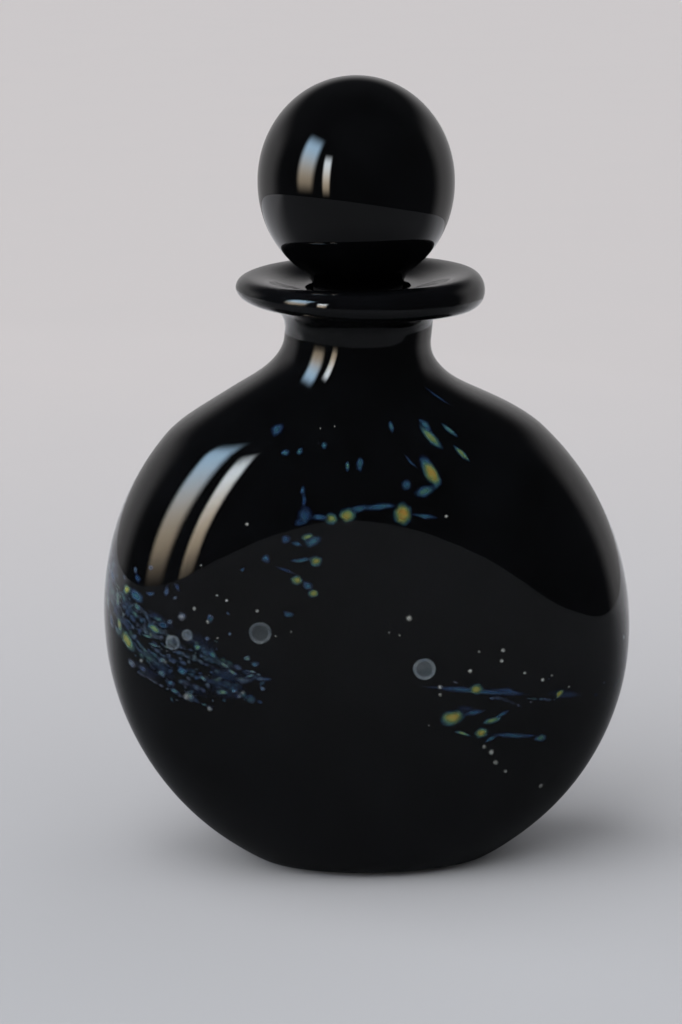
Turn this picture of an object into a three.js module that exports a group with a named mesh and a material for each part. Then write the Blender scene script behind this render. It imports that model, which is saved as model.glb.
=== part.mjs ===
// A hand-blown glass perfume flask, flattened front and back, with a solid ball stopper.
// Millimetres, +Z up. The origin is at the middle of the underside and the front faces -Y.

import * as THREE from 'three';

// Body: a lens of glass standing on its rim
const BODY_HALF_WIDTH = 37.1;
const BODY_HALF_HEIGHT = 38.7;
const BODY_HALF_DEPTH = 16.2;
const BODY_CENTRE_Z = 34.6;
// With 2 the lens is an ellipsoid; a higher power gives flatter faces and a fuller rim
const FACE_POWER = 5;
// The body bends a little to one side, from its foot up to its shoulder
const FOOT_SHIFT = 0.85;
const SHOULDER_SHIFT = -1.05;
const BEND_POWER = 2.2;

// Foot: the lens is cut off flat and its edge is ground round
const FOOT_HALF_WIDTH = 17.5;
const FOOT_HALF_DEPTH = 10.2;
const FOOT_EDGE = 0.8;
const FOOT_HOLLOW = 0.8;
const FOOT_HOLLOW_SHARE = 0.55;

// Shoulder: an S-shaped sweep from the lens to the round neck
const SHOULDER_START_Z = 61.8;
const SHOULDER_RISE = 5.2;
const NECK_DROP = 6.3;
const SHOULDER_TOP_Z = 66;
const BEND_FADES_Z = [68, 77];
// One shoulder is a little fuller than the other just under the neck
const SHOULDER_FULLNESS = -0.4;
const SHOULDER_FULLNESS_Z = 68.3;
const SHOULDER_FULLNESS_REACH = 2;

// Neck and lip
const NECK_RADIUS = 10.15;
const NECK_WAIST_Z = 75.2;
const NECK_TOP_Z = 76.8;
const LIP_RADIUS = 17.05;
const LIP_EDGE_DEPTH = 2.05;
const LIP_THICKNESS = 4.05;
const LIP_TOP_Z = 84;
// The lip spreads further on one side, and its underside droops there
const LIP_SHIFT = 0.3;
const LIP_DROOP = 1;
const MOUTH_RADIUS = 7.2;
const MOUTH_Z = 82.2;

// Inside: the same lens, smaller, under a tapered bore
const CAVITY_HALF_WIDTH = 32.6;
const CAVITY_HALF_HEIGHT = 30;
const CAVITY_HALF_DEPTH = 11.7;
const CAVITY_CENTRE_Z = 36.8;
const CAVITY_SHOULDER_Z = 59.3;
const CAVITY_SHOULDER_RISE = 3.8;
const BORE_TOP_RADIUS = 6.35;
const BORE_TOP_Z = 81.4;
const BORE_END_RADIUS = 5.6;
const BORE_END_Z = 70;
const BORE_DROP = 5;

// Stopper: a ball, a short stem and a ground plug, all one piece of glass
const BALL_RADIUS = 13.33;
const BALL_HALF_HEIGHT = 14.1;
const BALL_CENTRE_Z = 96.4;
// With 2 the lower half of the ball is an ellipsoid; a higher power makes it fuller
const BALL_LOWER_POWER = 2.08;
const WAIST_RADIUS = 8.4;
const STEM_TOP_Z = 83.6;
const PLUG_GAP = 0.3;
const PLUG_END_Z = 69.5;
const PLUG_CHAMFER = 0.6;

// How finely the curves are faceted
const FLASK_SIDES = 56;
const STOPPER_SIDES = 44;

// An outline across the flask: its half width and half depth at a height, how near it is
// to the end of its lens (0 in the middle, 1 at the end or round), its shift in X and its droop
function station(halfWidth, halfDepth, z, lens) {
  const cut = Math.min(1, Math.abs(z - lens.centreZ) / lens.halfHeight);
  return { halfWidth, halfDepth, z, cut, shift: 0, droop: 0 };
}

const bodyLens = {
  halfWidth: BODY_HALF_WIDTH,
  halfHeight: BODY_HALF_HEIGHT,
  halfDepth: BODY_HALF_DEPTH,
  centreZ: BODY_CENTRE_Z,
};

const cavityLens = {
  halfWidth: CAVITY_HALF_WIDTH,
  halfHeight: CAVITY_HALF_HEIGHT,
  halfDepth: CAVITY_HALF_DEPTH,
  centreZ: CAVITY_CENTRE_Z,
};

// The lens's own outline at a height
function lensStation(lens, z) {
  const share = (z - lens.centreZ) / lens.halfHeight;
  const middleDepth = lens.halfDepth * Math.sqrt(1 - Math.abs(share) ** FACE_POWER);
  return station(lens.halfWidth * Math.sqrt(1 - share * share), middleDepth, z, lens);
}

// How fast a lens narrows there, in width and in depth, for each millimetre up
function lensSlope(lens, z) {
  const share = (z - lens.centreZ) / lens.halfHeight;
  const width = (-lens.halfWidth * share) / Math.sqrt(1 - share * share) / lens.halfHeight;
  const depth = (-lens.halfDepth * FACE_POWER * share ** (FACE_POWER - 1))
    / (2 * Math.sqrt(1 - share ** FACE_POWER)) / lens.halfHeight;
  return { width, depth };
}

// Outlines of a lens between two heights, evenly spaced round its rim
function lensStations(lens, fromZ, toZ, steps) {
  const fromAngle = Math.asin((fromZ - lens.centreZ) / lens.halfHeight);
  const toAngle = Math.asin((toZ - lens.centreZ) / lens.halfHeight);
  const stations = [];
  for (let i = 0; i <= steps; i += 1) {
    const angle = THREE.MathUtils.lerp(fromAngle, toAngle, i / steps);
    stations.push(lensStation(lens, lens.centreZ + lens.halfHeight * Math.sin(angle)));
  }
  return stations;
}

// The sweep from a lens at its shoulder height to a round neck
function shoulderStations(lens, shoulderZ, rise, neckRadius, neckZ, drop, steps) {
  const start = lensStation(lens, shoulderZ);
  const slope = lensSlope(lens, shoulderZ);
  const curve = new THREE.CubicBezierCurve3(
    new THREE.Vector3(start.halfWidth, start.halfDepth, shoulderZ),
    new THREE.Vector3(
      start.halfWidth + slope.width * rise,
      start.halfDepth + slope.depth * rise,
      shoulderZ + rise,
    ),
    new THREE.Vector3(neckRadius, neckRadius, neckZ - drop),
    new THREE.Vector3(neckRadius, neckRadius, neckZ),
  );
  return curve.getPoints(steps).slice(1).map((point) => station(point.x, point.y, point.z, lens));
}

// The underside: a shallow hollow, a flat ring to stand on, and the rounded edge
function footStations() {
  const flatWidth = FOOT_HALF_WIDTH - FOOT_EDGE;
  const flatDepth = FOOT_HALF_DEPTH - FOOT_EDGE;
  const hollowWidth = flatWidth * FOOT_HOLLOW_SHARE;
  const hollowDepth = flatDepth * FOOT_HOLLOW_SHARE;
  const stations = [
    station(hollowWidth / 2, hollowDepth / 2, FOOT_HOLLOW * 0.75, bodyLens),
    station(hollowWidth, hollowDepth, 0, bodyLens),
  ];
  const edgeSteps = 2;
  for (let i = 0; i < edgeSteps; i += 1) {
    const angle = (Math.PI / 2) * (i / edgeSteps);
    const out = FOOT_EDGE * Math.sin(angle);
    const up = FOOT_EDGE * (1 - Math.cos(angle));
    stations.push(station(flatWidth + out, flatDepth + out, up, bodyLens));
  }
  return stations;
}

// The lip, from the neck out under it, round its edge and in over its dished top
function lipStations() {
  const edgeRadius = LIP_RADIUS - LIP_EDGE_DEPTH;
  const halfThickness = LIP_THICKNESS / 2;
  const edgeZ = LIP_TOP_Z - halfThickness;
  const profile = new THREE.Path();
  profile.moveTo(NECK_RADIUS, NECK_TOP_Z);
  profile.quadraticCurveTo(NECK_RADIUS + 0.2, edgeZ - halfThickness, edgeRadius, edgeZ - halfThickness);
  profile.absellipse(
    edgeRadius, edgeZ, LIP_EDGE_DEPTH, halfThickness, -Math.PI / 2, Math.PI / 2, false,
  );
  profile.bezierCurveTo(edgeRadius - 3, LIP_TOP_Z, MOUTH_RADIUS + 2.5, MOUTH_Z, MOUTH_RADIUS, MOUTH_Z);
  profile.quadraticCurveTo(BORE_TOP_RADIUS, MOUTH_Z, BORE_TOP_RADIUS, BORE_TOP_Z);
  const [underside, edge, top, mouth] = profile.curves;
  const points = [
    ...underside.getPoints(4),
    ...edge.getPoints(9).slice(1),
    ...top.getPoints(4).slice(1),
    ...mouth.getPoints(2).slice(1),
  ];
  return points.map((point) => station(point.x, point.x, point.y, bodyLens));
}

// How far the outside of the body stands to one side of the neck's axis
function bodyShift(z) {
  const bend = THREE.MathUtils.lerp(FOOT_SHIFT, SHOULDER_SHIFT, (z / SHOULDER_TOP_Z) ** BEND_POWER);
  const kept = 1 - THREE.MathUtils.smoothstep(z, ...BEND_FADES_Z);
  const fromFullest = (z - SHOULDER_FULLNESS_Z) / SHOULDER_FULLNESS_REACH;
  return bend * kept + SHOULDER_FULLNESS * Math.exp(-(fromFullest ** 2));
}

// Moves an outline of the outside to where the glass really runs
function settle(outline) {
  if (outline.z < NECK_TOP_Z) {
    return { ...outline, shift: bodyShift(outline.z) };
  }
  const spread = (outline.halfWidth - NECK_RADIUS) / (LIP_RADIUS - NECK_RADIUS);
  const share = THREE.MathUtils.clamp(spread, 0, 1);
  const down = (LIP_TOP_Z - outline.z) / LIP_THICKNESS;
  return { ...outline, shift: LIP_SHIFT * share, droop: LIP_DROOP * share * down };
}

// Share of the middle depth that is left at a share of the half width
function outlineDepth(across, cut) {
  if (cut === 1) {
    return Math.sqrt(1 - across * across);
  }
  const reach = Math.sqrt(cut * cut + across * across * (1 - cut * cut));
  return Math.sqrt(Math.max(0, 1 - reach ** FACE_POWER) / (1 - cut ** FACE_POWER));
}

function outlinePoints({ halfWidth, halfDepth, z, cut, shift, droop }, sides) {
  const points = [];
  for (let i = 0; i < sides; i += 1) {
    const angle = (2 * Math.PI * i) / sides;
    const across = Math.cos(angle);
    const back = Math.sign(Math.sin(angle));
    points.push([
      shift + halfWidth * across,
      back * halfDepth * outlineDepth(across, cut),
      z - droop * across,
    ]);
  }
  return points;
}

// A closed skin over a row of outlines, shut by a point at each end
function loft(outlines, firstPole, lastPole) {
  const sides = outlines[0].length;
  const positions = [...outlines.flat(2), ...firstPole, ...lastPole];
  const firstPoleIndex = outlines.length * sides;
  const lastPoleIndex = firstPoleIndex + 1;
  const lastRow = (outlines.length - 1) * sides;
  const indices = [];
  for (let j = 0; j < sides; j += 1) {
    const next = (j + 1) % sides;
    indices.push(firstPoleIndex, next, j);
    for (let row = 0; row < lastRow; row += sides) {
      indices.push(row + j, row + next, row + sides + next);
      indices.push(row + j, row + sides + next, row + sides + j);
    }
    indices.push(lastPoleIndex, lastRow + j, lastRow + next);
  }
  const geometry = new THREE.BufferGeometry();
  geometry.setAttribute('position', new THREE.Float32BufferAttribute(positions, 3));
  geometry.setIndex(indices);
  geometry.computeVertexNormals();
  return geometry;
}

// The flask is one skin: up the outside, over the lip and down the inside
function flaskGeometry() {
  const outside = [
    ...footStations(),
    ...lensStations(bodyLens, FOOT_EDGE, SHOULDER_START_Z, 16),
    ...shoulderStations(
      bodyLens, SHOULDER_START_Z, SHOULDER_RISE, NECK_RADIUS, NECK_WAIST_Z, NECK_DROP, 8,
    ),
    ...lipStations(),
  ].map(settle);
  const floorZ = CAVITY_CENTRE_Z - CAVITY_HALF_HEIGHT;
  const insideUpwards = [
    ...lensStations(cavityLens, floorZ + 0.25, CAVITY_SHOULDER_Z, 11),
    ...shoulderStations(
      cavityLens, CAVITY_SHOULDER_Z, CAVITY_SHOULDER_RISE, BORE_END_RADIUS, BORE_END_Z, BORE_DROP, 6,
    ),
  ];
  const outlines = [...outside, ...insideUpwards.reverse()]
    .map((outline) => outlinePoints(outline, FLASK_SIDES));
  return loft(outlines, [FOOT_SHIFT, 0, FOOT_HOLLOW], [0, 0, floorZ]);
}

// The bore's radius at a height, and with it the plug's
function boreRadius(z) {
  const share = (z - BORE_END_Z) / (BORE_TOP_Z - BORE_END_Z);
  return THREE.MathUtils.lerp(BORE_END_RADIUS, BORE_TOP_RADIUS, share);
}

// The ball's share of its radius at a share of its half height, from -1 at the bottom to 1
function ballShare(share) {
  const power = share < 0 ? BALL_LOWER_POWER : 2;
  return (1 - Math.abs(share) ** power) ** (1 / power);
}

function stopperGeometry() {
  const plugTopRadius = boreRadius(BORE_TOP_Z) - PLUG_GAP;
  const plugEndRadius = boreRadius(PLUG_END_Z) - PLUG_GAP;
  const waistShare = ballShare(-WAIST_RADIUS / BALL_RADIUS);
  const waistZ = BALL_CENTRE_Z - BALL_HALF_HEIGHT * waistShare;
  const plug = new THREE.Path();
  plug.moveTo(0, PLUG_END_Z);
  plug.lineTo(plugEndRadius - PLUG_CHAMFER, PLUG_END_Z);
  plug.lineTo(plugEndRadius, PLUG_END_Z + PLUG_CHAMFER);
  plug.lineTo(plugTopRadius, BORE_TOP_Z);
  plug.bezierCurveTo(
    plugTopRadius, STEM_TOP_Z, WAIST_RADIUS - 1.2, waistZ - 1, WAIST_RADIUS, waistZ,
  );
  const profile = plug.getPoints(5);
  const ballSteps = 20;
  const waistAngle = Math.asin(waistShare);
  for (let i = 1; i <= ballSteps; i += 1) {
    const share = Math.sin(THREE.MathUtils.lerp(-waistAngle, Math.PI / 2, i / ballSteps));
    profile.push(new THREE.Vector2(
      i === ballSteps ? 0 : BALL_RADIUS * ballShare(share),
      BALL_CENTRE_Z + BALL_HALF_HEIGHT * share,
    ));
  }
  const geometry = new THREE.LatheGeometry(profile, STOPPER_SIDES);
  geometry.rotateX(Math.PI / 2);
  return geometry;
}

function blackGlass(name) {
  return new THREE.MeshStandardMaterial({ name, color: 0x08080a, roughness: 0.05, metalness: 0 });
}

function piece(name, geometry) {
  const mesh = new THREE.Mesh(geometry, blackGlass(name));
  mesh.name = name;
  return mesh;
}

const perfumeFlask = new THREE.Group();
perfumeFlask.add(piece('flask', flaskGeometry()));
perfumeFlask.add(piece('stopper', stopperGeometry()));

export default perfumeFlask;
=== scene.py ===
# %% [markdown]
# # A hand-blown glass flask, dressed in Blender
# The real flask is a thick gather of black glass with a clear gather over it, and coloured
# grains, streaks and bubbles are caught between the two. Its stopper is a ball of solid
# black glass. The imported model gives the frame: every piece is made in metres, in place, so
# nothing is fitted afterwards.

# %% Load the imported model
import math
from collections import namedtuple

import bpy
import numpy as np
from mathutils import Euler, Matrix, Vector


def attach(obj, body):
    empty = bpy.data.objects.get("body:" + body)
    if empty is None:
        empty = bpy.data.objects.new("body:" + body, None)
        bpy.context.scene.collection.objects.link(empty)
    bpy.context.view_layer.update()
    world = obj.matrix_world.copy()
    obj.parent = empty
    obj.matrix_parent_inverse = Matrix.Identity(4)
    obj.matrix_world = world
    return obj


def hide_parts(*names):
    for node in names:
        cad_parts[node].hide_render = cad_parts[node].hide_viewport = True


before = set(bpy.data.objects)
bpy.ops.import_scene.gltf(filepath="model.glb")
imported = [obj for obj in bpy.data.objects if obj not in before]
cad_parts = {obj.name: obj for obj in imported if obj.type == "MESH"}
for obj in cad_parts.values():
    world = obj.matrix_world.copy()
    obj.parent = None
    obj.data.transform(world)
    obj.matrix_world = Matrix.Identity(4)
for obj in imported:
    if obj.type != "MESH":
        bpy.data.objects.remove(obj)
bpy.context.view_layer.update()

MM = 0.001


def placed(name, data):
    """A new object in the scene that holds this data."""
    thing = bpy.data.objects.new(name, data)
    bpy.context.scene.collection.objects.link(thing)
    return thing


# %% [markdown]
# ## The camera
# A photograph is matched by where the camera stood, how it was turned and its angle of view.
# Here all three were solved from the flask's own outline: a third of a metre away, looking
# down by 15 degrees, with the camera leaning a little.

# %% Camera
CAMERA_PLACE = Vector((-2.95, -324.4, 138.7)) * MM
CAMERA_PITCH = math.radians(15.24)
CAMERA_LEAN = math.radians(-1.17)
CAMERA_LENS = 84.69
SENSOR = 36

camera_data = bpy.data.cameras.new("camera")
camera_data.lens = CAMERA_LENS
camera_data.sensor_width = SENSOR
camera_data.clip_start = 0.01
camera_data.clip_end = 100
camera = placed("camera", camera_data)
looking_down = Euler((math.pi / 2 - CAMERA_PITCH, 0, 0)).to_matrix().to_4x4()
leaning = Matrix.Rotation(CAMERA_LEAN, 4, "Z")
camera.matrix_world = Matrix.Translation(CAMERA_PLACE) @ looking_down @ leaning
bpy.context.scene.camera = camera
print("camera at", [round(value, 4) for value in camera.location])

# %% [markdown]
# ## Writing node trees as sums
# Long chains of Math nodes are hard to read. A small class wraps one socket and overloads the
# operators, so that an expression on wires adds its Math nodes by itself. Every other node
# comes from one function, which applies the settings before it fills the sockets, because a
# setting can change which sockets a node has.


# %% Wires and nodes
class Wire:
    """One socket of a node tree. A sum written with wires adds Math nodes to the tree."""

    def __init__(self, socket):
        self.socket = socket

    def math(self, operation, *values):
        tree = self.socket.id_data
        return add_node(tree, "ShaderNodeMath", *values, settings={"operation": operation})

    def __add__(self, other):
        return self.math("ADD", self, other)

    def __radd__(self, other):
        return self.math("ADD", other, self)

    def __sub__(self, other):
        return self.math("SUBTRACT", self, other)

    def __rsub__(self, other):
        return self.math("SUBTRACT", other, self)

    def __mul__(self, other):
        return self.math("MULTIPLY", self, other)

    def __rmul__(self, other):
        return self.math("MULTIPLY", other, self)

    def __truediv__(self, other):
        return self.math("DIVIDE", self, other)

    def __rtruediv__(self, other):
        return self.math("DIVIDE", other, self)

    def __pow__(self, other):
        return self.math("POWER", self, other)

    def function(self, name, *values):
        """A named function of this wire, such as SINE, ROUND or SQRT."""
        return self.math(name, self, *values)


def plug_in(tree, socket, value):
    if isinstance(value, Wire):
        tree.links.new(value.socket, socket)
    else:
        socket.default_value = value


def add_node(tree, kind, *values, settings=None, output=0, **named):
    """Adds a node: its settings, its sockets in order or by name, and the output that is used."""
    node = tree.nodes.new(kind)
    for name, value in (settings or {}).items():
        setattr(node, name, value)
    for socket, value in zip(node.inputs, values):
        plug_in(tree, socket, value)
    for name, value in named.items():
        plug_in(tree, node.inputs[name.replace("_", " ")], value)
    return Wire(node.outputs[output])


def split(vector):
    """The three numbers of a vector wire."""
    first = add_node(vector.socket.id_data, "ShaderNodeSeparateXYZ", vector)
    return [Wire(socket) for socket in first.socket.node.outputs]


def smooth_step(value, low, high):
    """0 below low, 1 above high, and a soft rise between them."""
    settings = {"interpolation_type": "SMOOTHSTEP"}
    tree = value.socket.id_data
    return add_node(tree, "ShaderNodeMapRange", value, low, high, settings=settings)


def mix_colours(tree, share, low, high):
    """A colour between two: low where share is 0 and high where it is 1."""
    mixed = add_node(tree, "ShaderNodeMix", share, settings={"data_type": "RGBA"}, output=2)
    _, _, _, _, _, _, low_socket, high_socket, *_ = mixed.socket.node.inputs
    plug_in(tree, low_socket, low)
    plug_in(tree, high_socket, high)
    return mixed


def ramp(tree, stops, share):
    """A colour that runs through the stops as share goes from 0 to 1."""
    colour = add_node(tree, "ShaderNodeValToRGB", share)
    elements = colour.socket.node.color_ramp.elements
    while len(elements) < len(stops):
        elements.new(0.5)
    for element, (place, tint) in zip(elements, stops):
        element.position = place
        element.color = (*tint, 1)
    return colour


def scaled(vector, factor):
    """A vector wire times a number or a number's wire."""
    tree = vector.socket.id_data
    return add_node(
        tree, "ShaderNodeVectorMath", settings={"operation": "SCALE"}, Vector=vector, Scale=factor
    )


def less(tree, vector, other):
    """A vector less another."""
    settings = {"operation": "SUBTRACT"}
    return add_node(tree, "ShaderNodeVectorMath", vector, other, settings=settings)


# %% [markdown]
# ## The flask's outlines
# Cut across at any height, the flask has an outline with a half width and a half depth. Near
# the middle it is the outline of a flattened lens, and it turns round as it nears the neck.
# The source describes it with the same sizes, in far fewer steps. Here each outline becomes
# one vertex of a guide line: its place holds the half width, the half depth and the height,
# and an attribute holds what else the loft needs to know.

# %% Named sizes, in millimetres, as in the source
# Only the lip is a hair narrower here, so that its finer curve stays inside the source's box
BODY_HALF_WIDTH = 37.1
BODY_HALF_HEIGHT = 38.7
BODY_HALF_DEPTH = 16.2
BODY_CENTRE_Z = 34.6
FACE_POWER = 5
FOOT_SHIFT = 0.85
SHOULDER_SHIFT = -1.05
BEND_POWER = 2.2
FOOT_HALF_WIDTH = 17.5
FOOT_HALF_DEPTH = 10.2
FOOT_EDGE = 0.8
FOOT_HOLLOW = 0.8
FOOT_HOLLOW_SHARE = 0.55
SHOULDER_START_Z = 61.8
SHOULDER_RISE = 5.2
NECK_DROP = 6.3
SHOULDER_TOP_Z = 66
BEND_FADES_Z = (68, 77)
SHOULDER_FULLNESS = -0.4
SHOULDER_FULLNESS_Z = 68.3
SHOULDER_FULLNESS_REACH = 2
NECK_RADIUS = 10.15
NECK_WAIST_Z = 75.2
NECK_TOP_Z = 76.8
LIP_RADIUS = 17.02
LIP_EDGE_DEPTH = 2.05
LIP_THICKNESS = 4.05
LIP_TOP_Z = 84
LIP_SHIFT = 0.3
LIP_DROOP = 1
MOUTH_RADIUS = 7.2
MOUTH_Z = 82.2
CAVITY_HALF_WIDTH = 32.6
CAVITY_HALF_HEIGHT = 30
CAVITY_HALF_DEPTH = 11.7
CAVITY_CENTRE_Z = 36.8
CAVITY_SHOULDER_Z = 59.3
CAVITY_SHOULDER_RISE = 3.8
BORE_TOP_RADIUS = 6.35
BORE_TOP_Z = 81.4
BORE_END_RADIUS = 5.6
BORE_END_Z = 70
BORE_DROP = 5

# An outline's cut says how near it is to the end of its lens; this one is all but round
NEARLY_ROUND = 0.999

# How thick the clear glass is over the black glass
BODY_CASING = 2.4
NECK_CASING = 1.2
LIP_CASING = 0.5
FOOT_CASING = 0.4
# Inside, the black glass is bare: it lies this far in front of the clear glass's own skin
INSIDE_CASING = -0.1

body_lens = (BODY_HALF_WIDTH, BODY_HALF_HEIGHT, BODY_HALF_DEPTH, BODY_CENTRE_Z)
cavity_lens = (CAVITY_HALF_WIDTH, CAVITY_HALF_HEIGHT, CAVITY_HALF_DEPTH, CAVITY_CENTRE_Z)


# %% Curves that the outlines follow
def soft_share(value, low, high):
    share = np.clip((value - low) / (high - low), 0, 1)
    return share * share * (3 - 2 * share)


def curve_points(corners, steps):
    """Points along a Bezier curve of three or four corners, without its first point."""
    corners = [np.array(corner, float) for corner in corners]
    degree = len(corners) - 1
    points = []
    for i in range(1, steps + 1):
        share = i / steps
        weights = [
            math.comb(degree, k) * share**k * (1 - share) ** (degree - k)
            for k in range(degree + 1)
        ]
        points.append(sum(weight * corner for weight, corner in zip(weights, corners)))
    return points


def lens_point(lens, z):
    """Half width, half depth and height of a lens's outline there."""
    half_width, half_height, half_depth, centre_z = lens
    share = (z - centre_z) / half_height
    width = half_width * math.sqrt(1 - share * share)
    depth = half_depth * math.sqrt(1 - abs(share) ** FACE_POWER)
    return np.array([width, depth, z])


def lens_points(lens, from_z, to_z, steps):
    _, half_height, _, centre_z = lens
    from_angle = math.asin((from_z - centre_z) / half_height)
    to_angle = math.asin((to_z - centre_z) / half_height)
    angles = np.linspace(from_angle, to_angle, steps + 1)
    return [lens_point(lens, centre_z + half_height * math.sin(angle)) for angle in angles]


def shoulder_points(lens, shoulder_z, rise, neck_radius, neck_z, drop, steps):
    """The sweep from a lens at its shoulder height to a round neck."""
    start = lens_point(lens, shoulder_z)
    slope = (lens_point(lens, shoulder_z + 0.01) - lens_point(lens, shoulder_z - 0.01)) / 0.02
    neck = np.array([neck_radius, neck_radius, neck_z])
    corners = [start, start + slope * rise, neck - [0, 0, drop], neck]
    return curve_points(corners, steps)


def foot_points():
    """The underside: a shallow hollow, a flat ring to stand on, and the rounded edge."""
    flat = np.array([FOOT_HALF_WIDTH - FOOT_EDGE, FOOT_HALF_DEPTH - FOOT_EDGE])
    hollow = flat * FOOT_HOLLOW_SHARE
    points = [np.array([0, 0, FOOT_HOLLOW])]
    for share in np.linspace(0.1, 1, 10):
        points.append(np.array([*(hollow * share), FOOT_HOLLOW * (1 - share**2)]))
    points.append(np.array([*(flat * 0.98), 0]))
    for angle in np.linspace(0, math.pi / 2, 9)[:-1]:
        out = FOOT_EDGE * math.sin(angle)
        points.append(np.array([*(flat + out), FOOT_EDGE * (1 - math.cos(angle))]))
    return points


def lip_points():
    """The lip, from the neck out under it, round its edge and in over its dished top."""
    edge_radius = LIP_RADIUS - LIP_EDGE_DEPTH
    half_thickness = LIP_THICKNESS / 2
    edge_z = LIP_TOP_Z - half_thickness
    under_z = edge_z - half_thickness
    underside = curve_points(
        [(NECK_RADIUS, NECK_TOP_Z), (NECK_RADIUS + 0.2, under_z), (edge_radius, under_z)], 16
    )
    edge = [
        (edge_radius + LIP_EDGE_DEPTH * math.cos(angle), edge_z + half_thickness * math.sin(angle))
        for angle in np.linspace(-math.pi / 2, math.pi / 2, 33)[1:]
    ]
    top = curve_points(
        [
            (edge_radius, LIP_TOP_Z),
            (edge_radius - 3, LIP_TOP_Z),
            (MOUTH_RADIUS + 2.5, MOUTH_Z),
            (MOUTH_RADIUS, MOUTH_Z),
        ],
        18,
    )
    mouth = curve_points(
        [(MOUTH_RADIUS, MOUTH_Z), (BORE_TOP_RADIUS, MOUTH_Z), (BORE_TOP_RADIUS, BORE_TOP_Z)], 8
    )
    profile = [(NECK_RADIUS, NECK_TOP_Z), *underside, *edge, *top, *mouth]
    return [np.array([radius, radius, z]) for radius, z in profile]


# %% [markdown]
# Hand-blown glass is never quite true. The body bends a little to one side from foot to
# shoulder, and the lip spreads and droops on one side. Those moves go with each outline as a
# second vector, with how nearly round the outline is. One more number says how deep the
# black glass lies there, so one guide line serves both the clear skin and the black core.


# %% What goes with each outline
def body_shift(z):
    bend = FOOT_SHIFT + (SHOULDER_SHIFT - FOOT_SHIFT) * (max(z, 0) / SHOULDER_TOP_Z) ** BEND_POWER
    kept = 1 - soft_share(z, *BEND_FADES_Z)
    from_fullest = (z - SHOULDER_FULLNESS_Z) / SHOULDER_FULLNESS_REACH
    return bend * kept + SHOULDER_FULLNESS * math.exp(-(from_fullest**2))


def outside_moves(point, in_lip):
    """Shift to one side, droop, and cut: how near the outline is to its lens's end."""
    half_width, _, z = point
    cut = min(NEARLY_ROUND, abs(z - BODY_CENTRE_Z) / BODY_HALF_HEIGHT)
    if not in_lip:
        return [body_shift(z), 0, cut]
    share = np.clip((half_width - NECK_RADIUS) / (LIP_RADIUS - NECK_RADIUS), 0, 1)
    return [LIP_SHIFT * share, LIP_DROOP * share * (LIP_TOP_Z - z) / LIP_THICKNESS, cut]


def inside_moves(point):
    return [0, 0, min(NEARLY_ROUND, abs(point[2] - CAVITY_CENTRE_Z) / CAVITY_HALF_HEIGHT)]


def outside_casing(point):
    z = point[2]
    foot_to_body = FOOT_CASING + (BODY_CASING - FOOT_CASING) * soft_share(z, 0.5, 9)
    to_neck = (NECK_CASING - BODY_CASING) * soft_share(z, 60, 71)
    to_lip = (LIP_CASING - NECK_CASING) * soft_share(z, 74.5, 79.5)
    return foot_to_body + to_neck + to_lip


def mouth_casing(radius):
    """The casing thins out where the lip turns in to the ground bore."""
    share = soft_share(radius, BORE_TOP_RADIUS + 0.3, MOUTH_RADIUS + 1.6)
    return INSIDE_CASING + (LIP_CASING - INSIDE_CASING) * share


body_rows = [
    *foot_points(),
    *lens_points(body_lens, FOOT_EDGE, SHOULDER_START_Z, 84),
    *shoulder_points(
        body_lens, SHOULDER_START_Z, SHOULDER_RISE, NECK_RADIUS, NECK_WAIST_Z, NECK_DROP, 40
    ),
]
lip_rows = lip_points()
floor_z = CAVITY_CENTRE_Z - CAVITY_HALF_HEIGHT
inside_rows = [
    np.array([0, 0, floor_z]),
    *lens_points(cavity_lens, floor_z + 0.02, CAVITY_SHOULDER_Z, 44),
    *shoulder_points(
        cavity_lens, CAVITY_SHOULDER_Z, CAVITY_SHOULDER_RISE, BORE_END_RADIUS, BORE_END_Z,
        BORE_DROP, 22,
    ),
][::-1]

flask_rows = [*body_rows, *lip_rows, *inside_rows]
flask_moves = [
    *[outside_moves(row, False) for row in body_rows],
    *[outside_moves(row, True) for row in lip_rows],
    *[inside_moves(row) for row in inside_rows],
]
past_lip_edge = int(np.argmax([row[0] for row in lip_rows]))
flask_casing = [
    *[outside_casing(row) for row in body_rows],
    *[outside_casing(row) for row in lip_rows[:past_lip_edge]],
    *[mouth_casing(row[0]) for row in lip_rows[past_lip_edge:]],
    *[INSIDE_CASING for _ in inside_rows],
]
print("outlines along the flask's skin:", len(flask_rows))


# %% Guide lines as meshes
def keep_on_points(mesh, name, values):
    """Stores a number or a vector for each vertex, as an attribute."""
    values = np.array(values, np.float32)
    kind, field = ("FLOAT", "value") if values.ndim == 1 else ("FLOAT_VECTOR", "vector")
    mesh.attributes.new(name, kind, "POINT").data.foreach_set(field, values.ravel())


def guide_line(name, rows, moves, casing):
    """A mesh of one vertex for each outline, with what goes with it as attributes."""
    mesh = bpy.data.meshes.new(name)
    places = [[value * MM for value in row] for row in rows]
    edges = [(i, i + 1) for i in range(len(rows) - 1)]
    mesh.from_pydata(places, edges, [])
    keep_on_points(mesh, "moves", [(shift * MM, droop * MM, cut) for shift, droop, cut in moves])
    keep_on_points(mesh, "casing", np.array(casing, np.float32) * MM)
    return mesh


# %% [markdown]
# ## One loft for every piece of glass
# The body, its black core and the stopper all follow the same rule: an outline at each
# height, joined to the next. A Geometry Nodes tree can hold that rule once. It lays out a
# flat grid with a row for each vertex of the guide line, rolls each row into its outline,
# and merges the seam and the poles. Two more inputs sink the surface by the casing's depth
# and give it the slow unevenness of glass that was shaped while it was soft.


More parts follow.
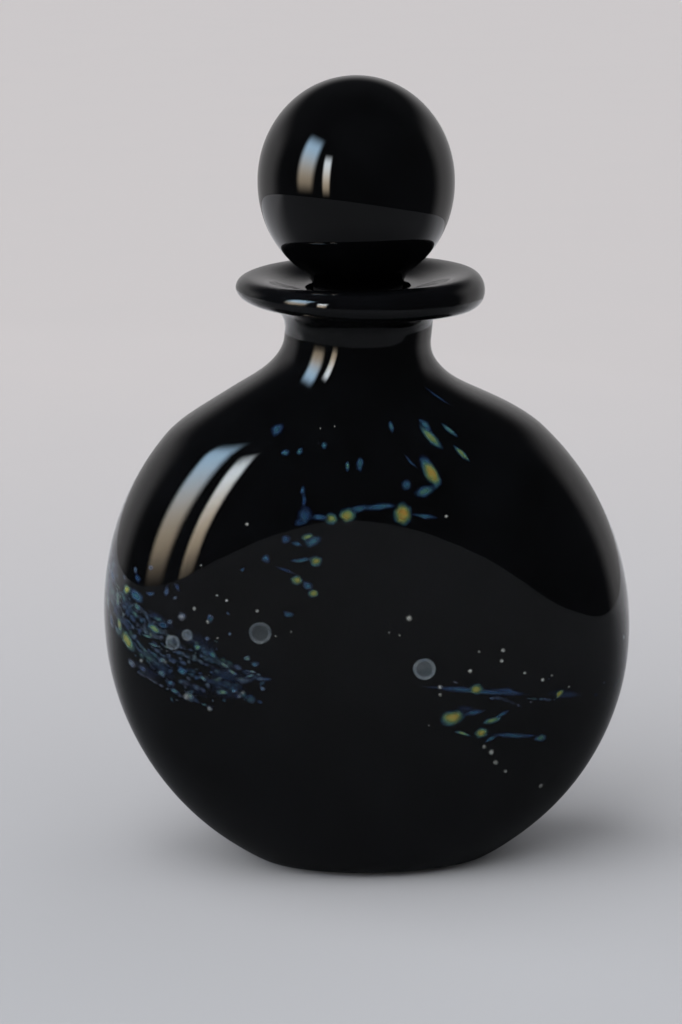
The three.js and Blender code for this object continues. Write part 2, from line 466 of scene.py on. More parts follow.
# %% The loft as a Geometry Nodes tree
def new_tree(name, **inputs):
    """An empty Geometry Nodes tree with named inputs, and a wire for each."""
    tree = bpy.data.node_groups.new(name, "GeometryNodeTree")
    tree.is_modifier = True
    for label, kind in inputs.items():
        tree.interface.new_socket(
            label.replace("_", " "), in_out="INPUT", socket_type="NodeSocket" + kind
        )
    tree.interface.new_socket("Geometry", in_out="OUTPUT", socket_type="NodeSocketGeometry")
    start = tree.nodes.new("NodeGroupInput")
    return tree, [Wire(start.outputs[i]) for i in range(len(inputs))]


def moved(tree, shape, **where):
    """The shape with its points at a Position, or moved by an Offset."""
    return add_node(tree, "GeometryNodeSetPosition", Geometry=shape, **where)


def finish_tree(tree, shape, material):
    """Smooth shading, the material, and the way out of the tree."""
    smooth = add_node(tree, "GeometryNodeSetShadeSmooth", Geometry=shape)
    painted = add_node(tree, "GeometryNodeSetMaterial", Geometry=smooth, Material=material)
    end = tree.nodes.new("NodeGroupOutput")
    tree.links.new(painted.socket, end.inputs["Geometry"])
    return tree


def named_attribute(tree, name, kind):
    return add_node(
        tree, "GeometryNodeInputNamedAttribute", name, settings={"data_type": kind}
    )


def outline_share(angle, cut, face_power):
    """Share of the half depth that is left at an angle round an outline."""
    sine = angle.function("SINE")
    left = 1 - (1 - sine * sine * (1 - cut * cut)) ** (face_power * 0.5)
    whole = 1 - cut**face_power
    return (left / whole).function("SQRT") * sine.function("SIGN")


# The noise runs from 0 to 1. With this added every point sinks a little, so that the skin
# stays inside the source's box where the noise is 0
ALWAYS_SUNK = 0.15
# Points nearer than this are one point, in millimetres
SEAM_WIDTH = 0.001
# How far above the still part the unevenness is in full, in millimetres
WAKES_OVER = 3


def loft_tree():
    tree, wires = new_tree(
        "loft of outlines", Guide="Geometry", Sides="Int", Face_Power="Float", Casing="Float",
        Unevenness="Float", Wave_Length="Float", Still_Below="Float", Material="Material",
    )
    guide, sides, face_power, casing, unevenness, wave_length, still_below, material = wires
    rows = add_node(tree, "GeometryNodeAttributeDomainSize", guide)
    grid = add_node(
        tree, "GeometryNodeMeshGrid",
        Size_X=1.0, Size_Y=1.0, Vertices_X=rows, Vertices_Y=sides + 1,
    )
    place = add_node(tree, "GeometryNodeInputPosition")
    along, around, _ = split(place)
    row = ((along + 0.5) * (rows - 1)).function("ROUND")
    angle = (0.5 - around) * math.tau

    def from_guide(value, kind="FLOAT_VECTOR"):
        return add_node(
            tree, "GeometryNodeSampleIndex", settings={"data_type": kind},
            Geometry=guide, Value=value, Index=row,
        )

    half_width, half_depth, height = split(from_guide(place))
    shift, droop, cut = split(from_guide(named_attribute(tree, "moves", "FLOAT_VECTOR")))
    across = angle.function("COSINE")
    outline = add_node(
        tree, "ShaderNodeCombineXYZ",
        shift + half_width * across,
        half_depth * outline_share(angle, cut, face_power),
        height - droop * across,
    )
    kept_depth = add_node(
        tree, "GeometryNodeStoreNamedAttribute",
        settings={"data_type": "FLOAT", "domain": "POINT"}, Geometry=grid, Name="casing",
        Value=from_guide(named_attribute(tree, "casing", "FLOAT"), "FLOAT"),
    )
    rolled = moved(tree, kept_depth, Position=outline)
    merged = add_node(
        tree, "GeometryNodeMergeByDistance", Geometry=rolled, Distance=SEAM_WIDTH * MM
    )
    noise = add_node(
        tree, "ShaderNodeTexNoise", Vector=scaled(place, 1 / wave_length),
        Scale=1.0, Detail=1.0,
    )
    free = smooth_step(split(place)[2], still_below, still_below + WAKES_OVER * MM)
    sink = named_attribute(tree, "casing", "FLOAT") * casing
    sink = sink + unevenness * (noise + ALWAYS_SUNK) * free
    normal = add_node(tree, "GeometryNodeInputNormal")
    return finish_tree(tree, moved(tree, merged, Offset=scaled(normal, 0 - sink)), material)


loft = loft_tree()
print("loft tree nodes:", len(loft.nodes))


# %% [markdown]
# A tree is run by a modifier. Its inputs are set by each socket's identifier before the
# object is evaluated, then the result is kept as a plain mesh and the modifier goes.


# %% Run a tree and keep its mesh
def grown(name, mesh, tree, **inputs):
    """A plain mesh object, made by a Geometry Nodes tree from a guide mesh."""
    piece = placed(name, mesh)
    modifier = piece.modifiers.new("made by nodes", "NODES")
    modifier.node_group = tree
    sockets = {
        item.name: item.identifier
        for item in tree.interface.items_tree
        if item.item_type == "SOCKET" and item.in_out == "INPUT"
    }
    for label, value in inputs.items():
        modifier[sockets[label.replace("_", " ")]] = value
    evaluated = piece.evaluated_get(bpy.context.evaluated_depsgraph_get())
    result = bpy.data.meshes.new_from_object(evaluated)
    piece.modifiers.remove(modifier)
    piece.data = result
    result.name = name
    triangles = sum(len(face.vertices) - 2 for face in result.polygons)
    print(name, "triangles:", triangles, "volume, cm3:", round(volume_of(result) * 1e6, 2))
    return piece


def volume_of(mesh):
    """Signed volume: above 0 where the faces point outwards."""
    mesh.calc_loop_triangles()
    places = np.empty(len(mesh.vertices) * 3)
    mesh.vertices.foreach_get("co", places)
    corners = np.empty(len(mesh.loop_triangles) * 3, int)
    mesh.loop_triangles.foreach_get("vertices", corners)
    a, b, c = places.reshape(-1, 3)[corners.reshape(-1, 3)].transpose(1, 0, 2)
    return float(np.einsum("ij,ij->i", a, np.cross(b, c)).sum() / 6)


# %% [markdown]
# ## Materials
# Glass is mostly what it reflects and bends, so its finish is quiet: a clear body that bends
# light, a polish with the faintest drag marks and smears, and under it black glass that
# swallows nearly everything. Lamps can't shine through a bending surface in a path tracer,
# so shadow rays pass straight through the clear glass and the colours inside are lit.


# %% Start a material
def new_material(name):
    material = bpy.data.materials.new(name)
    material.use_nodes = True
    material.node_tree.nodes.clear()
    return material, material.node_tree


def finish_material(material, shader):
    tree = material.node_tree
    end = tree.nodes.new("ShaderNodeOutputMaterial")
    tree.links.new(shader.socket, end.inputs["Surface"])
    return material


def principled(tree, **sockets):
    return add_node(tree, "ShaderNodeBsdfPrincipled", **sockets)


def matt(material, colour, roughness, specular=0.0, **sockets):
    """Finishes a material that mirrors nothing, or next to nothing."""
    shader = principled(
        material.node_tree, Base_Color=colour, Roughness=roughness,
        Specular_IOR_Level=specular, **sockets,
    )
    return finish_material(material, shader)


def object_place(tree):
    return add_node(tree, "ShaderNodeTexCoord", output="Object")


def noise_at(tree, place, size, detail=2.0, roughness=0.5, distortion=0.0):
    """Smooth noise with features of about that size in millimetres."""
    return add_node(
        tree, "ShaderNodeTexNoise",
        Vector=place, Scale=1 / (size * MM), Detail=detail, Roughness=roughness,
        Distortion=distortion,
    )


BUMP_STRENGTH = 0.5


def bump_from(tree, height, depth):
    return add_node(
        tree, "ShaderNodeBump", Strength=BUMP_STRENGTH, Distance=depth * MM, Height=height
    )


def polish(tree, place, smoothest, smeared):
    """Roughness of wiped glass: clean over most of it, with a few broad smears."""
    broad = smooth_step(noise_at(tree, place, 14, 3.0), 0.5, 0.75)
    drag = noise_at(tree, place, 1.6, 4.0, 0.6)
    return smoothest + (smeared - smoothest) * broad * drag


# %% Clear glass
GLASS_IOR = 1.5


def clear_glass():
    material, tree = new_material("clear glass")
    place = object_place(tree)
    shader = principled(
        tree, Base_Color=(0.97, 0.985, 0.98, 1), Transmission_Weight=1.0, IOR=GLASS_IOR,
        Roughness=polish(tree, place, 0.005, 0.05),
        Normal=bump_from(tree, noise_at(tree, place, 7, 1.0), 0.02),
    )
    shadow = add_node(tree, "ShaderNodeLightPath", output="Is Shadow Ray")
    open_to_lamps = add_node(tree, "ShaderNodeBsdfTransparent")
    glass = add_node(tree, "ShaderNodeMixShader", shadow, shader, open_to_lamps)
    return finish_material(material, glass)


# %% Black glass under the casing
def cased_black_glass():
    material, tree = new_material("black glass under clear")
    cloud = noise_at(tree, object_place(tree), 9, 3.0)
    stops = [(0.35, (0.0012, 0.0013, 0.0016)), (0.75, (0.0030, 0.0033, 0.0042))]
    return matt(material, ramp(tree, stops, cloud), 0.6)


# %% Black glass of the stopper: polished on the ball, ground on the plug
GROUND_TOP = 82.4
GROUND_GREY = (0.030, 0.030, 0.032, 1)


def stopper_glass():
    material, tree = new_material("black glass of the stopper")
    place = object_place(tree)
    height = split(place)[2]
    ground = 1 - smooth_step(height, (GROUND_TOP - 0.5) * MM, (GROUND_TOP + 0.4) * MM)
    grit = noise_at(tree, place, 0.12, 3.0, 0.7)
    cloud = noise_at(tree, place, 8, 3.0)
    stops = [(0.3, (0.0012, 0.0013, 0.0015)), (0.8, (0.0032, 0.0034, 0.0040))]
    tint = ramp(tree, stops, cloud)
    ripple = noise_at(tree, place, 6, 1.0)
    relief = ripple * 0.2 * (1 - ground) + grit * ground * 0.3
    shader = principled(
        tree, Base_Color=mix_colours(tree, ground * (0.6 + 0.4 * grit), tint, GROUND_GREY),
        IOR=GLASS_IOR, Roughness=polish(tree, place, 0.012, 0.06) + ground * 0.45,
        Normal=bump_from(tree, relief, 0.05),
    )
    return finish_material(material, shader)


# %% [markdown]
# ## The flask
# The clear glass is the whole wall of the flask, from its outer skin over the lip and down
# the inside. The black glass is the same loft sunk by the casing's depth, so that it reads as
# a dark heart behind a clear, bright edge.

# %% Blow the flask
FLASK_SIDES = 240
UNEVENNESS = 0.11
WAVE_LENGTH = 17
FOOT_STILL_BELOW = 0.5


def blown(name, casing, material):
    """The flask's loft: its own skin where casing is 0, and the black core where it is 1."""
    return grown(
        name, guide_line(name + " guide", flask_rows, flask_moves, flask_casing), loft,
        Sides=FLASK_SIDES, Face_Power=float(FACE_POWER), Casing=casing,
        Unevenness=UNEVENNESS * MM, Wave_Length=WAVE_LENGTH * MM,
        Still_Below=FOOT_STILL_BELOW * MM, Material=material,
    )


clear_flask = blown("flask_clear_glass", 0.0, clear_glass())
black_flask = blown("flask_black_glass", 1.0, cased_black_glass())

# %% [markdown]
# ## The stopper
# A ball of solid glass that was drawn in to a short stem and ground to a taper, so that it
# seats in the neck. It is round at every height, so its outlines are circles: the same loft
# turns it.

# %% Turn the stopper
BALL_RADIUS = 13.33
BALL_HALF_HEIGHT = 14.1
BALL_CENTRE_Z = 96.4
BALL_LOWER_POWER = 2.08
WAIST_RADIUS = 8.4
STEM_TOP_Z = 83.6
PLUG_GAP = 0.3
PLUG_END_Z = 69.5
PLUG_CHAMFER = 0.6
STOPPER_SIDES = 200
STOPPER_UNEVENNESS = 0.06
PLUG_STILL_BELOW = 84


def bore_radius(z):
    share = (z - BORE_END_Z) / (BORE_TOP_Z - BORE_END_Z)
    return BORE_END_RADIUS + (BORE_TOP_RADIUS - BORE_END_RADIUS) * share


def ball_share(share):
    power = BALL_LOWER_POWER if share < 0 else 2
    return (1 - abs(share) ** power) ** (1 / power)


def straight(start, end, steps):
    return [np.array(start) + (np.array(end) - start) * i / steps for i in range(1, steps + 1)]


def stopper_profile():
    """Radius and height from the middle of the plug's end up to the top of the ball."""
    end_radius = bore_radius(PLUG_END_Z) - PLUG_GAP
    top_radius = bore_radius(BORE_TOP_Z) - PLUG_GAP
    waist_share = ball_share(-WAIST_RADIUS / BALL_RADIUS)
    waist_z = BALL_CENTRE_Z - BALL_HALF_HEIGHT * waist_share
    start = (0, PLUG_END_Z)
    flat_end = (end_radius - PLUG_CHAMFER, PLUG_END_Z)
    chamfer_end = (end_radius, PLUG_END_Z + PLUG_CHAMFER)
    plug_top = (top_radius, BORE_TOP_Z)
    stem = curve_points(
        [
            plug_top,
            (top_radius, STEM_TOP_Z),
            (WAIST_RADIUS - 1.2, waist_z - 1),
            (WAIST_RADIUS, waist_z),
        ],
        16,
    )
    ball = [
        (BALL_RADIUS * ball_share(share), BALL_CENTRE_Z + BALL_HALF_HEIGHT * share)
        for share in np.sin(np.linspace(-math.asin(waist_share), math.pi / 2, 97)[1:])
    ]
    return [
        start,
        *straight(start, flat_end, 6),
        *straight(flat_end, chamfer_end, 3),
        *straight(chamfer_end, plug_top, 24),
        *stem,
        *ball,
    ]


stopper_rows = [np.array([radius, radius, z]) for radius, z in stopper_profile()]
round_moves = [[0, 0, NEARLY_ROUND]] * len(stopper_rows)
stopper = grown(
    "stopper_black_glass",
    guide_line("stopper guide", stopper_rows, round_moves, [0] * len(stopper_rows)), loft,
    Sides=STOPPER_SIDES, Face_Power=2.0, Casing=0.0,
    Unevenness=STOPPER_UNEVENNESS * MM, Wave_Length=WAVE_LENGTH * MM,
    Still_Below=PLUG_STILL_BELOW * MM, Material=stopper_glass(),
)

# %% [markdown]
# ## Colour sealed in the casing
# Before the clear gather went on, the hot black glass was rolled in crushed coloured glass.
# Each grain melted to a flat drop with a warm heart and a blue rim, and the turning pulled
# many of them out into threads. Placing each one by one would look drawn, but scattering all
# of them at random would lose the ones that give this flask its face, so both are used: a
# short list of drops and threads, and strands of fine grains along which they drifted.

# %% Where the larger drops and threads are: x, z, length, width (mm), tilt (degrees), warmth
DROPS = [
    (9.3, 64.1, 5.2, 1.5, -52, 0.74),
    (8.6, 65.6, 3.0, 1.2, -52, 0.44),
    (12.0, 64.9, 3.4, 0.8, -52, 0.60),
    (10.6, 68.6, 5.2, 0.7, -62, 0.34),
    (13.4, 61.8, 3.5, 1.1, -52, 0.74),
    (9.2, 59.4, 4.6, 2.1, -66, 0.95),
    (8.6, 60.6, 3.4, 2.0, -60, 0.46),
    (8.2, 57.0, 3.2, 1.7, 16, 0.52),
    (9.9, 57.9, 2.4, 1.1, 60, 0.50),
    (6.5, 61.0, 3.2, 0.4, -46, 0.34),
    (5.8, 58.0, 1.6, 1.4, -69, 0.50),
    (-7.8, 54.1, 3.1, 2.3, 80, 0.36),
    (-7.9, 56.2, 2.6, 0.7, 90, 0.36),
    (-8.3, 53.2, 2.6, 1.3, 20, 0.34),
    (-5.9, 53.8, 3.2, 1.1, 0, 0.40),
    (-4.3, 53.6, 2.2, 1.9, 0, 0.80),
    (-2.1, 54.1, 2.6, 2.3, -13, 0.93),
    (-0.6, 54.9, 4.0, 1.1, 18, 0.46),
    (2.2, 55.1, 5.6, 1.3, 2, 0.42),
    (5.2, 54.1, 3.7, 2.8, 90, 1.00),
    (8.2, 53.8, 4.2, 0.9, -10, 0.44),
    (-2.0, 60.7, 1.5, 1.0, 90, 0.52),
    (-0.3, 60.9, 2.4, 1.1, 90, 0.48),
    (4.0, 65.6, 2.0, 0.8, -84, 0.50),
    (-5.1, 63.5, 1.2, 0.8, 90, 0.46),
    (-8.0, 57.5, 1.5, 1.0, 90, 0.44),
    (-10.2, 62.5, 1.5, 1.1, 30, 0.45),
    (-8.3, 62.7, 1.4, 0.9, 60, 0.50),
    (-11.3, 65.3, 2.2, 1.9, 60, 0.40),
    (-10.4, 50.9, 1.6, 1.4, 0, 0.38),
    (-7.6, 51.2, 1.8, 1.4, 7, 0.80),
    (-6.8, 50.6, 3.0, 1.6, 20, 0.46),
    (-9.0, 50.2, 2.0, 0.9, -20, 0.38),
    (-6.4, 47.8, 2.0, 1.7, -8, 0.76),
    (-8.4, 48.1, 3.4, 0.8, 4, 0.48),
    (-9.1, 45.2, 2.0, 1.6, -18, 0.85),
    (-7.6, 44.5, 1.8, 1.3, -29, 0.44),
    (-6.9, 43.3, 1.5, 1.2, -20, 0.80),
    (-10.5, 46.6, 3.2, 0.6, -25, 0.30),
    (-13.2, 48.3, 1.3, 1.3, -19, 0.40),
    (-10.3, 40.4, 1.7, 1.3, -20, 0.44),
    (-21.0, 39.9, 1.4, 1.1, -60, 0.42),
    (15.0, 28.9, 16.5, 0.9, -7, 0.40),
    (12.4, 29.2, 6.0, 1.1, -2, 0.38),
    (14.9, 29.3, 2.2, 1.9, 0, 0.86),
    (19.0, 28.6, 6.5, 1.2, -9, 0.34),
    (26.6, 27.6, 1.5, 1.1, 50, 0.86),
    (11.6, 25.3, 3.8, 2.6, 14, 0.88),
    (14.6, 25.8, 3.6, 1.0, 12, 0.42),
    (17.1, 24.6, 3.4, 1.1, 14, 0.64),
    (18.4, 25.4, 3.0, 0.8, 25, 0.40),
    (15.6, 22.9, 2.4, 1.8, 12, 0.84),
    (13.0, 22.8, 2.8, 0.6, -18, 0.66),
    (20.0, 22.2, 7.4, 1.0, -6, 0.40),
    (24.0, 21.3, 2.2, 1.4, 0, 0.52),
    (16.9, 21.9, 2.2, 0.7, 25, 0.52),
]

# Soft patches in and round the drift at the left, some of them milky, and at the right edge a
# pale one that is a painted glint: x, z, length, width (mm), tilt (degrees), warmth, paleness
PATCHES = [
    (-33.0, 35.4, 4.2, 2.4, -48, 0.86, 0.10),
    (-34.1, 37.3, 3.2, 1.4, -74, 0.74, 0.45),
    (-34.3, 40.8, 3.4, 1.5, -76, 0.66, 0.60),
    (-31.3, 42.1, 3.0, 1.8, -19, 0.48, 0.00),
    (-32.7, 42.7, 2.4, 1.6, 10, 0.84, 0.00),
    (-35.0, 43.5, 3.4, 1.8, -31, 0.36, 0.10),
    (-35.9, 39.6, 2.9, 1.4, -59, 0.60, 0.45),
    (-35.3, 37.2, 2.8, 1.6, -62, 0.36, 0.10),
    (-31.5, 40.5, 2.2, 1.1, -13, 0.54, 0.10),
    (-32.4, 32.3, 2.2, 1.4, -12, 0.40, 0.75),
    (-30.9, 31.8, 1.7, 0.9, -16, 0.34, 0.30),
    (-28.8, 38.0, 3.0, 1.4, -27, 0.66, 0.10),
    # a painted glint: a pale patch where a small bright spot sits at the right edge
    (36.4, 33.2, 1.6, 0.9, 80, 0.44, 0.80),
    (-27.7, 38.7, 1.7, 1.2, -14, 0.44, 0.00),
    (-30.0, 36.7, 2.4, 0.6, -8, 0.58, 0.20),
    (-29.2, 35.5, 2.6, 0.6, -6, 0.58, 0.20),
    (-26.7, 39.1, 1.0, 0.8, 5, 0.40, 0.50),
    (-28.0, 33.5, 1.5, 1.1, 6, 0.50, 0.55),
    (-28.0, 31.7, 1.4, 1.1, -25, 0.50, 0.35),
    (-25.1, 32.3, 1.8, 1.2, -7, 0.50, 0.00),
    (-26.8, 30.4, 1.9, 1.1, -25, 0.44, 0.10),
    (-26.3, 29.3, 1.8, 0.8, -24, 0.50, 0.10),
    (-24.2, 28.7, 1.5, 1.3, -42, 0.55, 0.60),
    (-22.3, 31.3, 1.8, 0.9, -29, 0.54, 0.30),
    (-22.8, 36.0, 1.3, 0.9, 2, 0.62, 0.00),
    (-20.8, 34.9, 1.6, 1.3, -41, 0.56, 0.00),
    (-19.3, 33.4, 2.2, 0.6, -31, 0.56, 0.45),
    (-18.2, 32.4, 1.9, 0.6, -37, 0.58, 0.45),
    (-17.0, 31.2, 1.9, 0.6, -21, 0.58, 0.50),
    (-15.8, 31.7, 1.7, 0.4, 15, 0.56, 0.40),
    (-19.6, 29.5, 2.0, 1.0, -4, 0.56, 0.20),
    (-17.2, 28.9, 0.8, 0.9, 0, 0.40, 0.70),
    (-21.5, 27.0, 1.2, 0.7, -31, 0.42, 0.60),
    (-16.1, 34.4, 1.1, 0.9, 0, 0.56, 0.40),
    (-15.0, 33.5, 1.4, 0.9, -22, 0.44, 0.10),
    (-15.3, 32.4, 1.3, 0.6, -11, 0.56, 0.60),
    (-14.2, 29.9, 1.1, 0.7, -22, 0.40, 0.40),
    (-24.9, 40.0, 1.6, 1.4, 3, 0.36, 0.50),
    (-20.9, 40.0, 1.4, 1.0, -61, 0.36, 0.45),
    (-25.5, 44.1, 1.4, 0.8, -65, 0.34, 0.10),
    (-27.1, 43.5, 1.6, 1.0, 70, 0.36, 0.20),
    (-29.2, 42.9, 1.5, 0.8, 7, 0.34, 0.10),
    (-31.4, 45.5, 1.2, 1.0, -41, 0.36, 0.30),
    (-29.1, 46.4, 1.0, 0.9, 8, 0.36, 0.00),
    (-16.4, 46.8, 0.8, 0.8, 0, 0.38, 0.00),
    (-31.1, 44.6, 1.6, 1.3, -38, 0.34, 0.00),
    (-25.7, 42.6, 1.0, 0.7, 2, 0.36, 0.50),
    (-21.4, 37.1, 1.1, 0.7, 1, 0.34, 0.30),
    (-18.4, 37.9, 0.8, 0.7, 0, 0.34, 0.30),
    (-18.6, 40.6, 0.7, 0.6, 0, 0.36, 0.20),
]

# Small bubbles that the glass trapped, seen as pale dots: x, z, diameter (mm), cover
SEEDS = [
    (5.9, 39.6, 1.30, 0.9), (13.5, 61.5, 0.60, 1.0), (11.1, 53.6, 0.75, 0.9),
    (18.6, 34.7, 0.95, 0.7), (18.4, 33.2, 0.95, 0.7), (14.1, 31.9, 1.00, 0.8),
    (15.3, 34.6, 0.60, 0.5), (21.6, 31.3, 0.75, 0.6), (24.1, 30.1, 0.85, 0.8),
    (25.4, 30.6, 0.60, 0.4), (27.9, 28.6, 0.60, 0.4), (10.0, 29.7, 0.95, 0.9),
    (10.0, 28.6, 0.90, 0.4), (3.2, 37.6, 0.70, 0.3), (4.6, 37.2, 0.60, 0.3),
    (17.0, 19.9, 1.30, 0.5), (16.0, 20.8, 1.00, 0.4), (19.0, 16.8, 0.95, 0.5),
    (17.6, 18.3, 1.20, 0.4), (24.2, 13.5, 1.20, 0.4), (-15.6, 53.0, 0.90, 0.6),
    (-14.5, 41.0, 0.80, 0.7), (-18.6, 42.5, 0.75, 0.7), (-19.9, 43.2, 0.60, 0.6),
    (-23.1, 41.3, 0.85, 0.6), (-24.9, 40.0, 1.30, 0.6), (-22.0, 47.3, 0.60, 0.4),
    (-21.3, 39.5, 0.90, 0.6), (-10.0, 38.0, 0.60, 0.3), (-12.1, 37.4, 0.60, 0.3),
    (-21.5, 26.9, 1.00, 0.6), (-24.6, 28.6, 1.50, 0.6), (-20.0, 37.2, 0.60, 0.4),
    (-3.6, 65.8, 0.45, 0.5), (-5.5, 65.6, 0.45, 0.5), (8.4, 24.2, 0.55, 0.3),
    (-31.0, 33.0, 1.10, 0.4), (-27.4, 33.4, 0.90, 0.3), (-16.8, 29.4, 0.80, 0.4),
]

# Larger bubbles, pressed flat: x, z, diameter (mm), cover
BUBBLES = [
    (-14.2, 37.9, 3.3, 0.5), (7.9, 32.3, 3.3, 0.8), (-24.2, 37.5, 1.7, 0.9),
    (-26.3, 36.3, 2.3, 0.8),
]


# %% [markdown]
# Each grain must lie in the casing, whichever way the body curves. The surface is known from
# the outlines, so a grain's seat is worked out from its x and z: the point on the skin, the
# way out of the glass, and the way along the thread.


# %% Seats on the skin
BACK = 1
FRONT = -1
underside_rows = len(foot_points())
skin = np.array([[*row, *moves] for row, moves in zip(body_rows, flask_moves)])[underside_rows:]


def skin_point(angle, z):
    """The point of the outer skin at an angle round the outline at a height, in mm."""
    half_width, half_depth, _, shift, _, cut = [np.interp(z, skin[:, 2], row) for row in skin.T]
    sine = math.sin(angle)
    left = 1 - (1 - sine * sine * (1 - cut * cut)) ** (FACE_POWER / 2)
    depth = math.copysign(math.sqrt(max(0, left) / (1 - cut**FACE_POWER)), sine)
    return np.array([shift + half_width * math.cos(angle), half_depth * depth, z])


def angle_at(x, z, side):
    """The angle round the outline of a point of the front or the back."""
    half_width = np.interp(z, skin[:, 2], skin[:, 0])
    shift = np.interp(z, skin[:, 2], skin[:, 3])
    return side * math.acos(np.clip((x - shift) / half_width, -0.999, 0.999)) % math.tau


def seat(angle, z, tilt):
    """Place, outward direction and direction along the grain."""
    place = skin_point(angle, z)
    level = skin_point(angle + 0.002, z) - skin_point(angle - 0.002, z)
    up = skin_point(angle, z + 0.05) - skin_point(angle, z - 0.05)
    level /= np.linalg.norm(level)
    up -= level * (up @ level)
    up /= np.linalg.norm(up)
    out = np.cross(level, up)
    along = math.cos(math.radians(tilt)) * level + math.sin(math.radians(tilt)) * up
    return place, out, along


# %% [markdown]
# The fine grains drift round the left edge of the body in strands, like smoke. A strand is a
# line from the back round to the front. Along it lie wide films of ink blue, then wisps,
# which are short rows of grains that overlap and wander a little and are warm at one place,
# and then loose specks.


# %% Strands, films, wisps and specks
Grain = namedtuple("Grain", "angle z length width thickness tilt depth warmth paleness cover")
FILM_THICKNESS = 0.04
GRAIN_THICKNESS = 0.08
COLDEST = 0.14
WARMEST = 0.90
WISP_COLD = 0.32
# Each grain of a wisp starts this share of a length after the one before
WISP_STEP = 0.62


class Strand:
    """A line round the body, and how grains gather along it."""

    def __init__(self, points, stray, counts, warmth):
        self.angles = np.unwrap([angle_at(x, z, side) for x, z, side in points])
        self.heights = np.array([z for _, z, _ in points], float)
        self.stray = stray
        self.films, self.wisps, self.specks = counts
        self.warmth = warmth

    def height(self, angle):
        return float(np.interp(angle, self.angles, self.heights))

    def pace(self, angle):
        """Millimetres along the skin for each radian round the outline."""
        z = self.height(angle)
        step = 0.01
        return np.linalg.norm(skin_point(angle + step, z) - skin_point(angle - step, z)) / 2 / step

    def slope(self, angle):
        """The strand's tilt on the skin, in degrees."""
        step = 0.06
        rise = (self.height(angle + step) - self.height(angle - step)) / 2 / step
        return math.degrees(math.atan2(rise, self.pace(angle)))

    def film(self, draw):
        """A wide, thin, ink-blue film under the wisps."""
        angle = draw.uniform(self.angles[0], self.angles[-1])
        length = draw.uniform(3.5, 8.5)
        return Grain(
            angle, self.height(angle) + draw.normal(0, self.stray),
            length, length * draw.uniform(0.25, 0.4), FILM_THICKNESS,
            self.slope(angle) + draw.normal(0, 8), draw.uniform(1.9, 2.2),
            draw.uniform(0.17, 0.30), 0.0, draw.uniform(0.3, 0.65),
        )

    def wisp(self, draw):
        """Grains in a short wandering row, warmest at one place."""
        grains = []
        angle = draw.uniform(self.angles[0], self.angles[-1])
        away = self.stray * float(np.clip(draw.normal(), -1.4, 1.4))
        heading = draw.normal(0, 5)
        broadest = draw.uniform(0.6, 1.6)
        count = int(draw.integers(3, 8))
        warmest = draw.uniform(0.2, 0.8)
        glow = self.warmth + draw.normal(0.04, 0.12)
        paleness = max(0.0, draw.normal(0.10, 0.18))
        depth = draw.uniform(0.8, 1.8)
        for i in range(count):
            share = (i + 0.5) / count
            width = broadest * math.sin(math.pi * share) ** 0.5 * draw.uniform(0.6, 1.2)
            length = width * draw.uniform(1.2, 2.3)
            near_warmest = math.exp(-(((share - warmest) / 0.2) ** 2))
            warmth = WISP_COLD + (glow - WISP_COLD) * near_warmest
            tilt = self.slope(angle) + heading
            grains.append(
                Grain(
                    angle, self.height(angle) + away, length, width, GRAIN_THICKNESS, tilt, depth,
                    float(np.clip(warmth, COLDEST, WARMEST)), paleness, draw.uniform(0.25, 0.75),
                )
            )
            angle += length * WISP_STEP * math.cos(math.radians(tilt)) / self.pace(angle)
            away += length * WISP_STEP * math.sin(math.radians(heading))
            heading += draw.normal(0, 7)
        return grains

    def speck(self, draw):
        angle = draw.uniform(self.angles[0], self.angles[-1])
        length = float(np.clip(draw.lognormal(-0.1, 0.4), 0.5, 2.2))
        return Grain(
            angle, self.height(angle) + draw.normal(0, self.stray * 1.4),
            length, length * draw.uniform(0.4, 0.85), GRAIN_THICKNESS,
            self.slope(angle) + draw.normal(0, 20), draw.uniform(0.7, 1.8),
            float(np.clip(draw.normal(self.warmth - 0.08, 0.1), COLDEST, WARMEST)),
            max(0.0, draw.normal(0.2, 0.3)), draw.uniform(0.25, 0.8),
        )

    def grains(self, draw):
        rows = [self.film(draw) for _ in range(self.films)]
        rows += [grain for _ in range(self.wisps) for grain in self.wisp(draw)]
        return rows + [self.speck(draw) for _ in range(self.specks)]


def behind(*points):
    return [(x, z, BACK) for x, z in points]


def in_front(*points):
    return [(x, z, FRONT) for x, z in points]


STRANDS = [
    Strand(
        behind((-8, 51), (-25, 49), (-34.5, 47))
        + in_front((-36, 46), (-34.4, 43.2), (-31, 39.6), (-26.5, 37), (-20, 34), (-13.5, 31.2)),
        1.0, (16, 36, 110), 0.52,
    ),
    Strand(
        behind((-14, 43), (-30, 41.5))
        + in_front((-36, 40.5), (-34.6, 37.6), (-31, 34.4), (-26, 31.6), (-21, 29.6), (-15.6, 28.6)),
        1.0, (16, 36, 100), 0.50,
    ),
    Strand(
        behind((-35, 43.5))
        + in_front((-36.2, 42.5), (-34.6, 39.8), (-31.5, 36.8), (-27, 34.4), (-22, 32.0), (-17, 30.4)),
        1.0, (10, 22, 70), 0.48,
    ),
    Strand(
        in_front((-32.3, 31.6), (-29, 30.4), (-25.4, 28.6), (-21.6, 27.4)), 0.5, (4, 5, 14), 0.42
    ),
    Strand(
        in_front((8, 30), (16, 28), (25, 27), (33, 27)) + behind((36.6, 29)), 1.6, (5, 3, 12), 0.34
    ),
]
SEED_OF_THE_DRIFT = 12


# %% [markdown]
# The grains themselves are one small lens of glass, repeated: a round one for drops and a
# pointed one for threads. A second tree sets it on every seat and makes it a little uneven,
# then lays each vertex against the real skin: it finds the nearest point of the clear glass
# and steps in by the grain's depth. A long thread bends with the body that way, and nothing
# pokes through.


